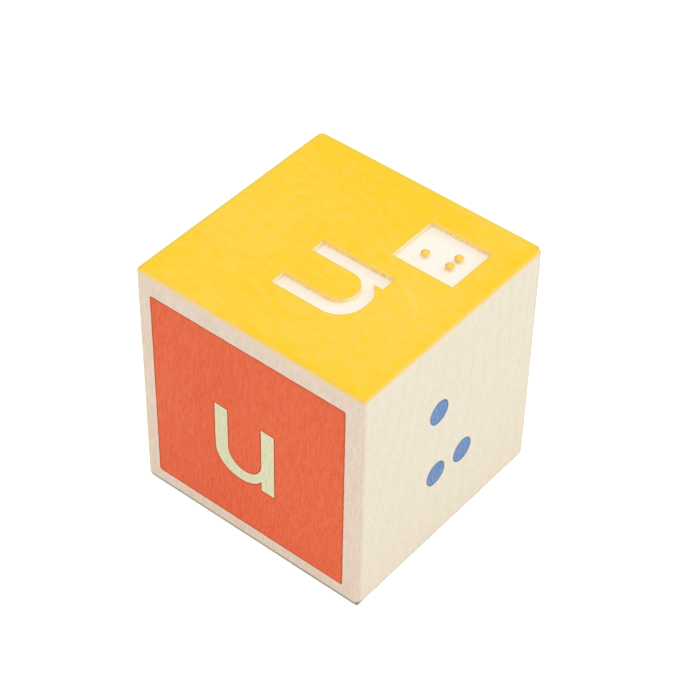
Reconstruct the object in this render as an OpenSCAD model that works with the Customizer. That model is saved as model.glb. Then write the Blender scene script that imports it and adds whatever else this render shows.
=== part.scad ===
// Alphabet block: a solid wooden block with a carved letter and Braille cell in its painted top,
// a printed letter panel on its front and a printed Braille cell on its right face.
// The origin is the centre of the base, +Z is up, the letter panel faces -Y, the blue dots face +X.

/* [Block] */
// Width of the block, along X
block_w = 44.45; // [30:0.05:80]
// Depth of the block, along Y
block_d = 43.9; // [30:0.05:80]
// Height of the block, along the grain
block_h = 45.65; // [30:0.05:80]
// Radius that the edges and corners are eased to
edge_r = 0.8; // [0.4:0.05:2]

/* [Coats] */
// Thickness of paint and ink, drawn thicker than the real 0.05
coat_t = 0.1; // [0.05:0.01:0.2]
// How far the top's paint reaches down over the eased edges
paint_reach = 0.85; // [0.5:0.05:2.5]

/* [Carving] */
// Depth of the carved letter and of the Braille window
carve_depth = 1; // [0.6:0.05:2]
// Height of the carved letter, from its foot to its top
carved_letter_h = 14.0; // [8:0.1:18]
// Width of the carved letter
carved_letter_w = 12.4; // [9:0.05:16]
// Width of the carved letter's two stems
carved_stem = 2.95; // [1.5:0.05:3.5]
// Thickness of the carved letter's bowl at its lowest point
carved_bowl = 2.75; // [1.5:0.05:3.5]
// Outer radius of the carved letter's bowl
carved_round = 4.6; // [3:0.1:5]
// Place of the carved letter's middle towards the back
carved_letter_y = -4.8; // [-8:0.1:8]
// Place of the carved letter's foot towards the right
carved_letter_x = 9.45; // [6:0.05:14]

/* [Braille window] */
// Size of the window along X
window_w = 11.7; // [9:0.05:14]
// Size of the window along Y
window_d = 10; // [8:0.05:12]
// Place of the window's centre along X
window_x = 11.3; // [8:0.05:14]
// Place of the window's centre along Y
window_y = 10.55; // [8:0.05:14]
// Distance between neighbouring dots, the common Braille spacing
braille_pitch = 2.34; // [2:0.01:2.6]
// Diameter of a standing dot where it leaves the floor
stud_base_d = 1.55; // [1.2:0.05:1.9]
// Diameter of a standing dot under its paint
stud_top_d = 1.45; // [1:0.05:1.6]
// Height of the rounded, painted cap of a standing dot
cap_h = 0.3; // [0.15:0.05:0.5]
// How far the dots' cell stands behind the window's centre
dots_back = 0.1; // [0:0.05:0.6]

/* [Front print] */
// Width of the printed square
panel_w = 38.5; // [20:0.1:60]
// Height of the printed square
panel_h = 38.3; // [20:0.1:60]
// Corner radius of the printed square
panel_corner_r = 0.45; // [0.1:0.05:2]
// How far the square sits below the middle of the face
panel_drop = 0.5; // [0:0.05:2]
// How far the square sits to the left of the middle of the face
panel_left = 0.15; // [0:0.05:2]
// Height of the printed letter, from its foot to its top
printed_letter_h = 13.3; // [8:0.1:18]
// Width of the printed letter
printed_letter_w = 12.0; // [9:0.05:16]
// Width of the printed letter's two stems
printed_stem = 2.55; // [1.5:0.05:3.5]
// Thickness of the printed letter's bowl at its lowest point
printed_bowl = 2.25; // [1.5:0.05:3.5]
// Outer radius of the printed letter's bowl
printed_round = 4.7; // [3:0.1:5]
// How far the printed letter's middle sits to the left of the face's middle
printed_letter_left = 0.75; // [0:0.05:3]
// How far the printed letter's foot sits below the middle of the face
printed_letter_drop = 9.4; // [4:0.1:12]

/* [Side print] */
// Diameter of a printed dot
dot_d = 4.6; // [3:0.1:6]
// Distance between neighbouring printed dots
dot_pitch = 6.8; // [5:0.05:9]
// Place of the printed cell's centre towards the back
dots_y = 0.35; // [-4:0.05:4]
// How far the printed cell's centre sits below the middle of the face
dots_drop = 0.7; // [0:0.05:4]

/* [Hidden] */
$fn = 96;

// How much longer a cutting shape is than what it cuts
overrun = 0.5;
// How far the bowl of either letter dips below the letter's foot
bowl_dip = 0.3;
// The part of a stem's width that the bowl's outer round runs into
bowl_reach_share = 0.25;
// A Braille cell's columns and rows, counted in pitches from the cell's centre
column_share = 0.5;
row_share = 1;

// Colours of the wood and the coats
wood_colour = "#EDE5CF";
yellow = "#FED546";
orange = "#E36B49";
letter_green = "#DBDEBB";
blue = "#7994C1";

// Height of a stud's wooden part, up to its cap
stud_h = carve_depth - cap_h;
// Radius of the sphere that a cap is cut from
cap_sphere_r = (stud_top_d * stud_top_d / 4 + cap_h * cap_h) / (2 * cap_h);

// The place of a Braille dot, as pitches to the right of and above its cell's centre
function dot_place(number) = [
    number > 3 ? column_share : -column_share,
    row_share * (2 - (number > 3 ? number - 3 : number))
];

// A block with every edge and corner rounded, standing on the base plane
module eased_block(w, d, h, r) {
    translate([-w / 2 + r, -d / 2 + r, 0]) cube([w - 2 * r, d - 2 * r, h]);
    translate([-w / 2, -d / 2 + r, r]) cube([w, d - 2 * r, h - 2 * r]);
    translate([-w / 2 + r, -d / 2, r]) cube([w - 2 * r, d, h - 2 * r]);
    for (x = [-1, 1] * (w / 2 - r), y = [-1, 1] * (d / 2 - r)) {
        translate([x, y, r]) cylinder(r = r, h = h - 2 * r);
        for (z = [r, h - r]) translate([x, y, z]) sphere(r = r);
    }
    for (x = [-1, 1] * (w / 2 - r), z = [r, h - r])
        translate([x, d / 2 - r, z]) rotate([90, 0, 0]) cylinder(r = r, h = d - 2 * r);
    for (y = [-1, 1] * (d / 2 - r), z = [r, h - r])
        translate([-w / 2 + r, y, z]) rotate([0, 90, 0]) cylinder(r = r, h = w - 2 * r);
}

// The whole block as the eye sees it, before anything is carved
module outer_block() {
    eased_block(block_w, block_d, block_h, edge_r);
}

// The wood under the top's coat
module under_coat() {
    eased_block(block_w - 2 * coat_t, block_d - 2 * coat_t, block_h - coat_t, edge_r - coat_t);
}

// Everything above the line where the top's coat stops
module above_paint_line() {
    translate([-block_w, -block_d, block_h - paint_reach])
        cube([2 * block_w, 2 * block_d, paint_reach + overrun]);
}

// A lower-case u of straight bars and round arcs, its foot on the X axis and its middle on the Y axis
module letter_u(w, h, stem, bowl, round_r) {
    bowl_w = w - stem * (1 - bowl_reach_share);
    inner_r = w / 2 - stem;
    left = -w / 2;
    round_y = round_r - bowl_dip;
    difference() {
        union() {
            for (x = [left + round_r, left + bowl_w - round_r])
                translate([x, round_y]) circle(r = round_r);
            translate([left + round_r, -bowl_dip]) square([bowl_w - 2 * round_r, round_r]);
            translate([left, round_y]) square([w - stem, h - round_y]);
        }
        translate([left + w / 2, bowl - bowl_dip + inner_r]) circle(r = inner_r);
        translate([left + stem, bowl - bowl_dip + inner_r]) square([2 * inner_r, h + overrun]);
    }
    translate([w / 2 - stem, 0]) square([stem, h]);
}

module carved_letter_outline() {
    translate([carved_letter_x, carved_letter_y]) rotate(90)
        letter_u(carved_letter_w, carved_letter_h, carved_stem, carved_bowl, carved_round);
}

module window_outline() {
    translate([window_x - window_w / 2, window_y - window_d / 2]) square([window_w, window_d]);
}

module printed_letter_outline() {
    translate([-printed_letter_left, block_h / 2 - printed_letter_drop])
        letter_u(printed_letter_w, printed_letter_h, printed_stem, printed_bowl, printed_round);
}

module panel_outline() {
    inner_w = panel_w - 2 * panel_corner_r;
    inner_h = panel_h - 2 * panel_corner_r;
    translate([-panel_left, block_h / 2 - panel_drop]) {
        square([panel_w, inner_h], center = true);
        square([inner_w, panel_h], center = true);
        for (x = [-1, 1] * inner_w / 2, y = [-1, 1] * inner_h / 2)
            translate([x, y]) circle(r = panel_corner_r);
    }
}

// A coat on a side face, let into the wood so that it lies flush
module on_front() {
    translate([0, -block_d / 2 + coat_t, 0]) rotate([90, 0, 0]) linear_extrude(coat_t) children();
}

module on_back() {
    translate([0, block_d / 2 - coat_t, 0]) rotate([90, 0, 180]) linear_extrude(coat_t) children();
}

module on_right() {
    translate([block_w / 2 - coat_t, 0, 0]) rotate([90, 0, 90]) linear_extrude(coat_t) children();
}

// The foot of a standing Braille dot, on the floor of the window
module at_stud(number) {
    place = dot_place(number) * braille_pitch;
    translate([window_x - place[1], window_y + dots_back + place[0], block_h - carve_depth]) children();
}

module block_body() {
    color(wood_colour) {
        difference() {
            union() {
                difference() {
                    outer_block();
                    above_paint_line();
                }
                intersection() {
                    under_coat();
                    above_paint_line();
                }
            }
            translate([0, 0, block_h - carve_depth]) linear_extrude(carve_depth + overrun) {
                carved_letter_outline();
                window_outline();
            }
            on_front() panel_outline();
            on_back() panel_outline();
            for (number = [1, 3, 6]) side_dot(number);
        }
        for (number = [1, 3, 6])
            at_stud(number) cylinder(d1 = stud_base_d, d2 = stud_top_d, h = stud_h);
    }
}

module top_face_paint() {
    color(yellow) difference() {
        intersection() {
            outer_block();
            above_paint_line();
        }
        under_coat();
        translate([0, 0, block_h - carve_depth]) linear_extrude(carve_depth + overrun) {
            carved_letter_outline();
            window_outline();
        }
    }
}

// The rounded yellow cap of one standing Braille dot
module braille_dot_paint(number) {
    color(yellow) at_stud(number) intersection() {
        translate([0, 0, stud_h]) cylinder(d = stud_base_d, h = cap_h + overrun);
        translate([0, 0, carve_depth - cap_sphere_r]) sphere(r = cap_sphere_r);
    }
}

module front_panel_ink() {
    color(orange) on_front() difference() {
        panel_outline();
        printed_letter_outline();
    }
}

module front_letter_ink() {
    color(letter_green) on_front() printed_letter_outline();
}

module back_panel_ink() {
    color(blue) on_back() panel_outline();
}

module side_dot(number) {
    place = dot_place(number) * dot_pitch;
    color(blue) on_right()
        translate([dots_y + place[0], block_h / 2 - dots_drop + place[1]]) circle(d = dot_d);
}

block_body();
top_face_paint();
braille_dot_paint(1);  // braille_dot_1_paint
braille_dot_paint(3);  // braille_dot_3_paint
braille_dot_paint(6);  // braille_dot_6_paint
front_panel_ink();
front_letter_ink();
side_dot(1);  // side_dot_1_ink
side_dot(3);  // side_dot_3_ink
side_dot(6);  // side_dot_6_ink
back_panel_ink();
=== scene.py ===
# %% [markdown]
# # A wooden alphabet block
# The block is one solid cut of basswood, about 44 mm each way. Its top is painted yellow and carved,
# its front carries a printed square with a letter, and its right side three printed dots.
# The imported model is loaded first. It gives every size that the pieces below are made to.

# %% The fixed frame
import math
import bpy
import bmesh
from mathutils import Matrix, Vector, noise
from mathutils.geometry import delaunay_2d_cdt


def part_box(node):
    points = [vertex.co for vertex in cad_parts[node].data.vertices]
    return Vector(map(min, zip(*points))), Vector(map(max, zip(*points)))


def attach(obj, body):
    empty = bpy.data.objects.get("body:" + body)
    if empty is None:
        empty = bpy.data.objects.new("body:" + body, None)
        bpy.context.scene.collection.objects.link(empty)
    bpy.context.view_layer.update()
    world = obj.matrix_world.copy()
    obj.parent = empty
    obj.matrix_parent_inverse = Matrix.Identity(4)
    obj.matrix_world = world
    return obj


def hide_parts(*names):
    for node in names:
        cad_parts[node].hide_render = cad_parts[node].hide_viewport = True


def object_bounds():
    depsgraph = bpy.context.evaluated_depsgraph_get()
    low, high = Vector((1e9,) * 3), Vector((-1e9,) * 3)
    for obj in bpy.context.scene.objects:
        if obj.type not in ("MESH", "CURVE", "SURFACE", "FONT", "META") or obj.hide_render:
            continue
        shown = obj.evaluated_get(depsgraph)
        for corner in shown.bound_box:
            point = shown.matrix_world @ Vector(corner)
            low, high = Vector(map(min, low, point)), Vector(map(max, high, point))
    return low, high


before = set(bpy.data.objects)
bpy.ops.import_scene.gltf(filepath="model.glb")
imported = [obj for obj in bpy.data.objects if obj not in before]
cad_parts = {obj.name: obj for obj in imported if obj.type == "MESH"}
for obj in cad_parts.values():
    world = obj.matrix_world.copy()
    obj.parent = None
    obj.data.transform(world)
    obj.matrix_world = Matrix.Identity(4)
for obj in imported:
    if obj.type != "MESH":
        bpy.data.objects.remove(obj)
cad_low, cad_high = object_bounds()
MM = 0.001
block_size = (cad_high - cad_low) / MM
HALF = block_size / 2
scene = bpy.context.scene
print("packed nodes:", len(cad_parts), "block, mm:", [round(side, 2) for side in block_size])

# %% [markdown]
# ## The camera
# The photograph was taken from the right, in front and well above, with a long lens. Its place comes
# from the block's own corners: the size of a face and how its edges run together fix how far away the
# lens is and how long it is. The camera is built from two angles and a small roll, so it can be read.

# %% Camera
FRAME_PX = 700
FOCAL_PX = 2227.0
EYE_MM = Vector((159.14, -198.03, 269.98))
AZIMUTH = math.radians(38.396)
ELEVATION = math.radians(43.834)
ROLL = math.radians(-1.340)
CLIP = 0.01

forward = Vector((
    -math.sin(AZIMUTH) * math.cos(ELEVATION),
    math.cos(AZIMUTH) * math.cos(ELEVATION),
    -math.sin(ELEVATION),
))
level = forward.cross(Vector((0, 0, 1))).normalized()
right = level * math.cos(ROLL) + forward.cross(level) * math.sin(ROLL)
up = right.cross(forward)

camera_data = bpy.data.cameras.new("camera")
camera_data.sensor_fit = "HORIZONTAL"
camera_data.lens = camera_data.sensor_width * FOCAL_PX / FRAME_PX
camera_data.clip_start = CLIP
camera = bpy.data.objects.new("camera", camera_data)
turned_to_block = Matrix((right, up, -forward)).transposed().to_4x4()
camera.matrix_world = Matrix.Translation(EYE_MM * MM) @ turned_to_block
scene.collection.objects.link(camera)
scene.camera = camera
scene.view_settings.view_transform = "Standard"
print("lens, mm:", round(camera_data.lens, 2))

# %% [markdown]
# ## Nodes and colours
# Every finish below is a small node tree. One function adds a node, sets what is given and links what
# comes from another node, so that each tree reads as a list. A node that is given whole stands for its
# first output in use. Colours are written as sRGB hex values, the way they look, and one function
# turns them to the linear values that the shaders need.

# %% Helpers for finishes
def linear(hex_colour):
    """An sRGB hex colour as linear red, green, blue and full alpha."""
    shares = [int(hex_colour[n:n + 2], 16) / 255 for n in (1, 3, 5)]
    return tuple(s / 12.92 if s <= 0.04045 else ((s + 0.055) / 1.055) ** 2.4 for s in shares) + (1.0,)


def add(tree, kind, inputs=None, **settings):
    """Adds a shader node. Each input is a value, or what feeds it: a node, or one of its outputs."""
    node = tree.nodes.new("ShaderNode" + kind)
    for name, value in settings.items():
        setattr(node, name, value)
    for socket, value in (inputs or {}).items():
        if isinstance(value, bpy.types.Node):
            value = next(output for output in value.outputs if output.enabled)
        if isinstance(value, bpy.types.NodeSocket):
            tree.links.new(value, node.inputs[socket])
        else:
            node.inputs[socket].default_value = value
    return node


def new_material(name):
    """An empty node material, and its tree."""
    material = bpy.data.materials.new(name)
    material.use_nodes = True
    material.node_tree.nodes.clear()
    return material, material.node_tree


print("half of full brightness to the eye is, in light:", round(linear("#808080")[0], 3))

# %% [markdown]
# ## Light and floor
# A plain soft studio: a white room gives most of the light. A large soft lamp overhead makes the top the
# brightest face, and a second one, low behind the right corner, makes the right side brighter than the
# front. The camera sees the room and the floor as white. The floor is white to the eye because a little
# light is added to what it reflects, for camera rays alone. That light fades where the floor is closed
# in by the block's foot, so the floor keeps the block's shadow and a thin dark line of contact.

# %% Light and floor
ROOM_LIGHT = 0.885
LAMPS = (
    ("overhead_lamp", Vector((0.0, -0.1, 1.2)), 0.8, 1.42),
    ("side_lamp", Vector((0.73, 0.85, 0.43)), 0.7, 2.06),
)
WHITE = linear("#FFFFFF")
FLOOR_GREY = linear("#E6E6E6")
FLOOR_HALF = 3.0
FLOOR_LIFT = 0.66
CONTACT_MM = 0.15

world = bpy.data.worlds.new("white_room")
scene.world = world
world.use_nodes = True
tree = world.node_tree
tree.nodes.clear()
rays = add(tree, "LightPath").outputs
seen = rays["Is Camera Ray"]
for other_ray in ("Is Glossy Ray", "Is Transmission Ray"):
    seen = add(tree, "Math", {0: seen, 1: rays[other_ray]}, operation="MAXIMUM")
room = add(tree, "Background", {"Color": WHITE, "Strength": ROOM_LIGHT})
white = add(tree, "Background", {"Color": WHITE, "Strength": 1.0})
choice = add(tree, "MixShader", {0: seen, 1: room, 2: white})
add(tree, "OutputWorld", {"Surface": choice})

for name, lamp_place, size, watts in LAMPS:
    lamp_data = bpy.data.lights.new(name, "AREA")
    lamp_data.size = size
    lamp_data.energy = watts
    lamp = bpy.data.objects.new(name, lamp_data)
    lamp.location = lamp_place
    lamp.rotation_euler = (-lamp_place).to_track_quat("-Z", "Y").to_euler()
    scene.collection.objects.link(lamp)

floor_material, tree = new_material("white_floor")
rays = add(tree, "LightPath").outputs
matt = add(tree, "BsdfDiffuse", {"Color": FLOOR_GREY})
openness = add(tree, "AmbientOcclusion", {"Distance": CONTACT_MM * MM}, samples=8).outputs["AO"]
lift_share = add(tree, "Math", {0: openness, 1: FLOOR_LIFT}, operation="MULTIPLY")
lift = add(tree, "Emission", {"Color": WHITE, "Strength": lift_share})
both = add(tree, "AddShader", {0: matt, 1: lift})
choice = add(tree, "MixShader", {0: rays["Is Camera Ray"], 1: matt, 2: both})
add(tree, "OutputMaterial", {"Surface": choice})

floor_mesh = bpy.data.meshes.new("floor")
floor_corners = [(x * FLOOR_HALF, y * FLOOR_HALF, 0) for x, y in ((-1, -1), (1, -1), (1, 1), (-1, 1))]
floor_mesh.from_pydata(floor_corners, [], [(0, 1, 2, 3)])
floor_mesh.materials.append(floor_material)
floor = bpy.data.objects.new("floor", floor_mesh)
scene.collection.objects.link(floor)
print("lamps:", len(LAMPS), "side of the floor, m:", 2 * FLOOR_HALF)

# %% [markdown]
# ## The eased block
# Real blocks are sawn square and then tumbled or sanded, so no edge is sharp and no two corners are
# quite alike. A bevel would round all of them the same. Here every face is a lattice of small squares
# that bends over the edges: a point is held back to an inner box and pushed out again by the local
# radius, which gives true round edges and ball corners, and lets one corner be rounder than the rest.
# The edges and corners that are rounder or sharper than the rest are listed by their side along each
# axis, with their own radius, which fades into the common one within a few millimetres.

# %% Lattice of the outer surface
ARC_STEPS = 5
FLAT_STEPS = 28
LAST = 2 * ARC_STEPS + FLAT_STEPS
EASE = 0.8
EASE_WANDER = 0.07
WANDER_LENGTH = 9.0
EDGE_REACH = 3.0
EDGE_ENDS = 2.5
EDGE_EASE = {(1, -1, 0): 1.3, (1, 0, 1): 1.15, (0, -1, 1): 0.6, (0, 1, 1): 0.6, (-1, 0, 1): 0.65}
CORNER_REACH = 4.0
CORNER_EASE = {
    (1, 1, 1): 1.8, (-1, 1, 1): 1.6, (-1, -1, 1): 0.65,
    (1, 1, -1): 2.4, (1, -1, -1): 0.6, (-1, -1, -1): 1.4,
}


def distance_from(sides, nominal):
    """How far a point lies from an edge or a corner, named by its side along each axis, 0 for none."""
    return Vector([n - side * half if side else 0.0 for n, side, half in zip(nominal, sides, HALF)]).length


def easing(nominal):
    """The radius of the easing near a point of the sawn block."""
    radius = EASE + EASE_WANDER * noise.noise(nominal / WANDER_LENGTH)
    for sides, own in EDGE_EASE.items():
        from_end = min(half - abs(n) for n, side, half in zip(nominal, sides, HALF) if side == 0) / EDGE_ENDS
        closeness = math.exp(-(distance_from(sides, nominal) / EDGE_REACH) ** 2) * (1 - math.exp(-from_end ** 2))
        radius += (own - EASE) * closeness
    for sides, own in CORNER_EASE.items():
        radius += (own - EASE) * math.exp(-(distance_from(sides, nominal) / CORNER_REACH) ** 2)
    return radius


def step_place(index, half, radius):
    """How far along one axis a lattice line lies, and how far it has gone round the edge, from 0 to 1."""
    turn = max(ARC_STEPS - index, index - (LAST - ARC_STEPS), 0) / ARC_STEPS
    share = (2 * index - LAST) / (LAST - 2 * ARC_STEPS)
    flat = max(-1, min(1, share)) * (half - radius)
    return flat + math.copysign(radius * math.tan(turn * math.pi / 4), share), turn


for edge_name, sides in (("upper front", (0, -1, 1)), ("upper right", (1, 0, 1))):
    edge_middle = Vector([side * half for side, half in zip(sides, HALF)])
    print("easing of the", edge_name, "edge, mm:", round(easing(edge_middle), 2))

# %% [markdown]
# ### Where the paint stops
# The yellow was put on the top with a roller or a pad. It runs over the eased edge and stops 0.4 to
# 0.9 mm below the top, furthest on the right, where it covers nearly all of the easing. Its lower line
# is nowhere straight, because the wood's pores draw it. The drop of each side plus a smooth noise gives
# its height. One row of the lattice follows that line all the way round. It is kept clear of both ends
# of the easing's arc, so that no square of the lattice folds over.

# %% Paint line
DROP = 0.55
DROP_RIGHT = 0.55
DROP_FRONT_LEFT = -0.14
DROP_FRONT_RIGHT = 0.08
DROP_WANDER = 0.13
DROP_LENGTH = 1.7
PAINT_ROW = LAST - ARC_STEPS + 2
LEAST_SINE = 0.04
MOST_SINE = 0.9
MOST_SLOPE = 0.93


def paint_drop(x, y, outward):
    """How far below the top face the paint reaches, where the side faces along outward."""
    share = x / block_size.x + 0.5
    front = DROP_FRONT_LEFT + (DROP_FRONT_RIGHT - DROP_FRONT_LEFT) * share
    coarse = noise.noise(Vector((x, y, 0)) / DROP_LENGTH)
    fine = noise.noise(Vector((x, y, 9)) * 2 / DROP_LENGTH)
    drop = DROP + DROP_RIGHT * max(outward.x, 0) + front * max(-outward.y, 0)
    return drop + DROP_WANDER * (coarse + 0.5 * fine)


def surface_frame(place):
    """For a lattice point: its place on the sawn block, the middle of its easing's arc, which way the
    surface faces there, and the arc's radius. On the easing below the top, the rows are moved along
    the arc so that PAINT_ROW lies on the paint line."""
    nominal = Vector([(2 * n / LAST - 1) * half for n, half in zip(place, HALF)])
    radius = easing(nominal)
    steps = [step_place(n, half, radius) for n, half in zip(place, HALF)]
    point = Vector([step[0] for step in steps])
    held = Vector([max(radius - half, min(half - radius, p)) for p, half in zip(point, HALF)])
    on_side = place[0] in (0, LAST) or place[1] in (0, LAST)
    if on_side and LAST - ARC_STEPS < place[2] < LAST:
        outward = Vector((point.x - held.x, point.y - held.y)).normalized()
        sine = max(LEAST_SINE, min(MOST_SINE, 1 - paint_drop(nominal.x, nominal.y, outward) / radius))
        sideways = math.tan(min(steps[0][1], steps[1][1]) * math.pi / 4)
        slope = min(MOST_SLOPE, sine / math.sqrt(1 - sine * sine) * math.sqrt(1 + sideways * sideways))
        row = place[2] - (LAST - ARC_STEPS)
        line_row = PAINT_ROW - (LAST - ARC_STEPS)
        if row <= line_row:
            slope = slope * row / line_row
        else:
            slope = slope + (1 - slope) * (row - line_row) / (ARC_STEPS - line_row)
        point.z = held.z + radius * slope
        held.z = HALF.z - radius
    return nominal, held, (point - held).normalized(), radius


def surface_point(place, depth=0.0):
    """A lattice point of the eased surface, in mm from the block's centre, sunk by depth."""
    _, held, normal, radius = surface_frame(place)
    return held + normal * (radius - depth)


line_points = [surface_point((n, 0, PAINT_ROW)) for n in range(ARC_STEPS, LAST - ARC_STEPS)]
line_drops = [HALF.z - point.z for point in line_points]
print("paint line below the top in front, mm:", round(min(line_drops), 2), "to", round(max(line_drops), 2))

# %% [markdown]
# ### Coats as thin solids
# Paint and ink are modelled as what they are: very thin solids that lie in the wood's surface. The
# wood is sunk below them by their thickness, and the yellow coat thins out to nothing at its lower edge.
# How its colour fades on the way there differs from side to side, so it is worked out here too.

# %% Thickness of the coats, and how the yellow one ends
COAT = 0.06
INK = 0.04
SEAM = 0.004
ROW_SHARE = 0.6
FADE_START_RIGHT = 0.26
FADE_START_FAR = 0.5
FADE_END = 0.94
FADE_END_RIGHT = -0.06
SHADE_FROM = 0.3
SHADE_FAR = 0.35
LEVEL = 0.01


def coat_share(place):
    """The part of the full coat that lies at a lattice point: none at the paint line, all two rows up."""
    return max(0.0, min(1.0, ROW_SHARE * (place[2] - PAINT_ROW)))


def paint_thinness(place):
    """How thin the paint is at a lattice point: 0 on the flat top and 1 at its line. It fades softly
    from a share of the way down to another, and within a shorter stretch on the right. On the left
    and the back it goes below 0 first, which paints shade along those edges."""
    nominal, _, normal, radius = surface_frame(place)
    outward = Vector((normal.x, normal.y))
    if outward.length < LEVEL:
        return 0.0
    outward.normalize()
    way = radius * (1 - normal.z) / paint_drop(nominal.x, nominal.y, outward)
    to_right = max(outward.x, 0.0)
    far = max(-outward.x, outward.y, 0.0)
    start = FADE_START_RIGHT * to_right + FADE_START_FAR * far
    stop = FADE_END + FADE_END_RIGHT * to_right
    share = max(0.0, min(1.0, (way - start) / (stop - start)))
    thin = share * share * (3 - 2 * share)
    # Below 0 on the left and back edges: painted shade along those edges.
    return thin - SHADE_FAR * far * min(1.0, way / SHADE_FROM) * (1 - thin)


print("thickness of coat and ink, mm:", COAT, INK)

# %% [markdown]
# ## From points to pieces
# Each piece is gathered as a list of points in millimetres and a list of faces, with the number of the
# finish that each face takes. At the end the list becomes a mesh in metres. A weighted-normal modifier
# keeps large flats flat, and edges that turn by more than a set angle stay crisp.

# %% Gathering a piece
SHARP_ANGLE = math.radians(32)


class Shell:
    """Points, faces and the finish of each face of one piece."""

    def __init__(self):
        self.points = []
        self.faces = []
        self.finishes = []

    def add_points(self, points):
        """Takes in points and gives their numbers."""
        first = len(self.points)
        self.points.extend(points)
        return list(range(first, len(self.points)))

    def add_faces(self, faces, finish=0):
        """Takes in faces, each a list of the numbers of its points."""
        self.faces.extend(faces)
        self.finishes.extend([finish] * len(faces))

    def add_band(self, one, other, finish=0):
        """A closed ring of squares between two loops with equally many points."""
        count = len(one)
        ring = [(one[n], one[(n + 1) % count], other[(n + 1) % count], other[n]) for n in range(count)]
        self.add_faces(ring, finish)

    def build(self, name, values=None):
        """The piece as a Blender object, standing on the floor. values are one number for each point."""
        mesh = bpy.data.meshes.new(name)
        mesh.from_pydata([(p + Vector((0, 0, HALF.z))) * MM for p in self.points], [], self.faces)
        mesh.polygons.foreach_set("material_index", self.finishes)
        if values:
            mesh.attributes.new("edge", "FLOAT", "POINT").data.foreach_set("value", values)
        shaper = bmesh.new()
        shaper.from_mesh(mesh)
        loose = [v for v in shaper.verts if not v.link_faces]
        bmesh.ops.delete(shaper, geom=loose, context="VERTS")
        bmesh.ops.recalc_face_normals(shaper, faces=shaper.faces)
        shaper.to_mesh(mesh)
        shaper.free()
        mesh.polygons.foreach_set("use_smooth", [True] * len(mesh.polygons))
        mesh.set_sharp_from_angle(angle=SHARP_ANGLE)
        piece = bpy.data.objects.new(name, mesh)
        scene.collection.objects.link(piece)
        weighted = piece.modifiers.new("flat_faces_stay_flat", "WEIGHTED_NORMAL")
        weighted.keep_sharp = True
        print(name, "points:", len(mesh.vertices), "faces:", len(mesh.polygons))
        return piece


# %% [markdown]
# ### Outlines
# Every outline is a closed loop of straight stretches and round arcs, counter-clockwise, cut into short
# steps. The letter is built the way a sign maker would draw it: two straight stems, a round inner
# bowl and a wider outer bowl that runs into the right stem just above its foot.

# %% Outlines
STEP = 0.45
ARC_LEAST = 4
BOWL_REACH = 0.25


def straight(*corners):
    """Points through the corners, up to the last one but without it."""
    points = []
    for start, stop in zip(corners, corners[1:]):
        count = max(1, round((stop - start).length / STEP))
        points += [start.lerp(stop, n / count) for n in range(count)]
    return points


def arc(centre, radius, start, stop):
    """Points round a centre from one angle to another, in degrees, without the last."""
    sweep = math.radians(stop - start)
    count = max(ARC_LEAST, round(abs(sweep) * radius / STEP))
    angles = [math.radians(start) + sweep * n / count for n in range(count)]
    return [centre + radius * Vector((math.cos(a), math.sin(a))) for a in angles]


def letter_u(width, height, stem, bowl, outer, dip):
    """A lower-case u with its foot on the first axis and its middle on the second. Its bowl is as
    thick as bowl at its lowest, its outer corners have the radius outer, and it dips below the foot."""
    side = width / 2
    inner = side - stem
    low_left = Vector((outer - side, outer - dip))
    low_right = Vector((side - stem * (1 - BOWL_REACH) - outer, outer - dip))
    meet = -math.degrees(math.acos((inner - low_right.x) / outer))
    meet_y = low_right.y + outer * math.sin(math.radians(meet))
    hollow = Vector((0, bowl - dip + inner))
    loop = straight(Vector((-side, height)), Vector((-side, low_left.y)))
    loop += arc(low_left, outer, 180, 270)
    loop += straight(Vector((low_left.x, -dip)), Vector((low_right.x, -dip)))
    loop += arc(low_right, outer, -90, meet)
    right_stem = ((inner, meet_y), (inner, 0), (side, 0), (side, height), (inner, height), (inner, hollow.y))
    loop += straight(*[Vector(corner) for corner in right_stem])
    loop += arc(hollow, inner, 0, -180)
    left_stem = ((-inner, hollow.y), (-inner, height), (-side, height))
    return loop + straight(*[Vector(corner) for corner in left_stem])


def rectangle(low, high, radius=0.0):
    """A rectangle as a loop, from two opposite corners. A radius makes its corners round."""
    middle = (low + high) / 2
    inner = (high - low) / 2 - Vector((radius, radius))
    centres = [middle + Vector((x * inner.x, y * inner.y)) for x, y in ((-1, -1), (1, -1), (1, 1), (-1, 1))]
    sides = [radius * Vector(side) for side in ((0, -1), (1, 0), (0, 1), (-1, 0))]
    loop = []
    for n in range(4):
        if radius:
            loop += arc(centres[n], radius, 180 + 90 * n, 270 + 90 * n)
        loop += straight(centres[n] + sides[n], centres[(n + 1) % 4] + sides[n])
    return loop


print("points round a disc of 5 mm:", len(arc(Vector((0, 0)), 2.5, 0, 360)))

# %% [markdown]
# ### Changing a loop
# A loop is widened, or made a little ragged, through an outward step at each of its points. The step is
# longer at a corner, so that both of the sides that meet there move by the same amount.

# %% Moving and widening
def moved(loop, shift, turned=False):
    """A loop moved by shift, after a quarter turn to the left if turned."""
    return [(Vector((-p.y, p.x)) if turned else p) + shift for p in loop]


def loop_normals(loop):
    """For each point of a loop, the outward step that moves both of its sides by one."""
    steps = []
    for n, here in enumerate(loop):
        a = (here - loop[n - 1]).normalized()
        b = (loop[(n + 1) % len(loop)] - here).normalized()
        one = Vector((a.y, -a.x))
        other = Vector((b.y, -b.x))
        steps.append((one + other) / (1 + one.dot(other)))
    return steps


def widened(loop, amount):
    """A loop grown by amount all round, or shrunk if it is below zero."""
    return [p + step * amount for p, step in zip(loop, loop_normals(loop))]


def ragged(loop, amount, length):
    """A loop whose line wanders a little, as the edge of ink does on wood."""
    steps = loop_normals(loop)
    return [p + s * amount * noise.noise(Vector((p.x, p.y, 3)) / length) for p, s in zip(loop, steps)]


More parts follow.
